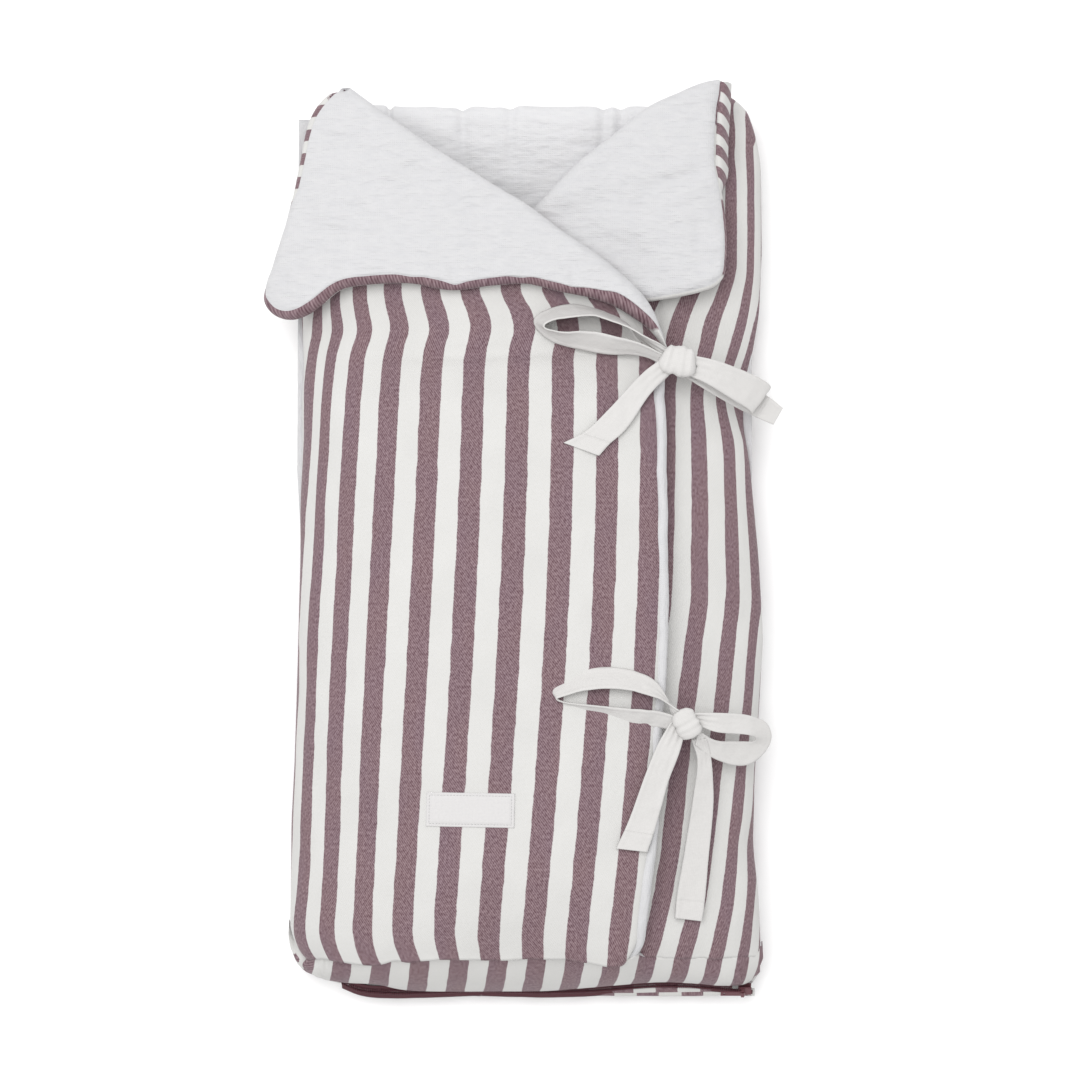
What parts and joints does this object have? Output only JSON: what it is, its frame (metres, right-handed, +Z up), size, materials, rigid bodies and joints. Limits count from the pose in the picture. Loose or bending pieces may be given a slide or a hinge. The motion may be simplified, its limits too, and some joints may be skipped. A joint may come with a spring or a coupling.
{
  "type": "baby sleeping bag",
  "caption": "Padded rectangular baby sleeping bag lying on its back, with a wrap-over front, turned-back lapels at the head, a zip along the foot edge and ribbon ties.",
  "frame": {"origin": "centre of the underside, below the middle of the whole piece", "axes": "+Y towards the head opening, +Z up out of the front, +X towards the side that the flap laps towards"},
  "size_m": [0.4418, 0.788, 0.121],
  "materials": {
    "striped_twill": "matte cotton twill with broad woven stripes",
    "muslin": "crinkled double gauze",
    "wadding": "soft fibre wadding",
    "ribbon_cotton": "flat cotton ribbon",
    "label_cloth": "smooth woven tape",
    "zip_tape": "woven polyester tape",
    "zip_coil": "satin nylon coil",
    "zip_metal": "satin enamel"
  },
  "bodies": {
    "base": {"back_outer": "striped_twill", "back_wadding": "wadding", "back_lining": "muslin", "left_side_outer": "striped_twill", "left_side_wadding": "wadding", "left_side_lining": "muslin", "right_side_outer": "striped_twill", "right_side_wadding": "wadding", "right_side_lining": "muslin", "head_wall_outer": "striped_twill", "head_wall_wadding": "wadding", "head_wall_lining": "muslin", "zip_lower_tape": "zip_tape", "zip_lower_coil": "zip_coil"},
    "front_flap": {"flap_outer": "striped_twill", "flap_wadding": "wadding", "flap_lining": "muslin", "flap_edge_roll": "muslin", "label": "label_cloth", "upper_flap_ribbon": "ribbon_cotton", "upper_panel_ribbon": "ribbon_cotton", "lower_flap_ribbon": "ribbon_cotton", "lower_panel_ribbon": "ribbon_cotton"},
    "left_lapel": {"left_lapel_face": "muslin", "left_lapel_wadding": "wadding", "left_lapel_underside": "striped_twill"},
    "right_panel": {"right_panel_outer": "striped_twill", "right_panel_wadding": "wadding", "right_panel_lining": "muslin"},
    "right_lapel": {"right_lapel_face": "muslin", "right_lapel_wadding": "wadding", "right_lapel_underside": "striped_twill", "right_lapel_edging": "striped_twill"},
    "foot_gusset": {"foot_gusset_outer": "striped_twill", "foot_gusset_wadding": "wadding", "foot_gusset_lining": "muslin", "zip_upper_tape": "zip_tape", "zip_upper_coil": "zip_coil"},
    "zip_slider": {"zip_slider": "zip_metal"},
    "zip_pull": {"zip_pull": "zip_metal"}
  },
  "joints": [
    {"name": "flap_open", "type": "hinge", "parent": "base", "child": "front_flap", "pos_m": [-0.2065, 0, 0.04], "axis": [0, -1, 0], "range_deg": [0, 105]},
    {"name": "right_panel_open", "type": "hinge", "parent": "base", "child": "right_panel", "pos_m": [0.2065, 0, 0.04], "axis": [0, 1, 0], "range_deg": [0, 75]},
    {"name": "left_lapel_unfold", "type": "hinge", "parent": "front_flap", "child": "left_lapel", "pos_m": [-0.023, 0.297, 0.1114], "axis": [-0.8177, 0.5757, 0], "range_deg": [0, 80]},
    {"name": "right_lapel_unfold", "type": "hinge", "parent": "right_panel", "child": "right_lapel", "pos_m": [0.013, 0.291, 0.072], "axis": [-0.819, -0.5738, 0], "range_deg": [0, 80]},
    {"name": "foot_gusset_open", "type": "hinge", "parent": "base", "child": "foot_gusset", "pos_m": [0, -0.357, 0.088], "axis": [-1, 0, 0], "range_deg": [0, 85]},
    {"name": "zip_slide", "type": "slide", "parent": "base", "child": "zip_slider", "axis": [-1, 0, 0], "range_m": [0, 0.33]},
    {"name": "zip_pull_swing", "type": "hinge", "parent": "zip_slider", "child": "zip_pull", "pos_m": [0.188, -0.39014, 0.03454], "axis": [0, 0.7071, 0.7071], "range_deg": [0, 120]}
  ],
  "couplings": [
    {"joint": "right_panel_open", "follows": "flap_open", "ratio": 0.7}
  ]
}
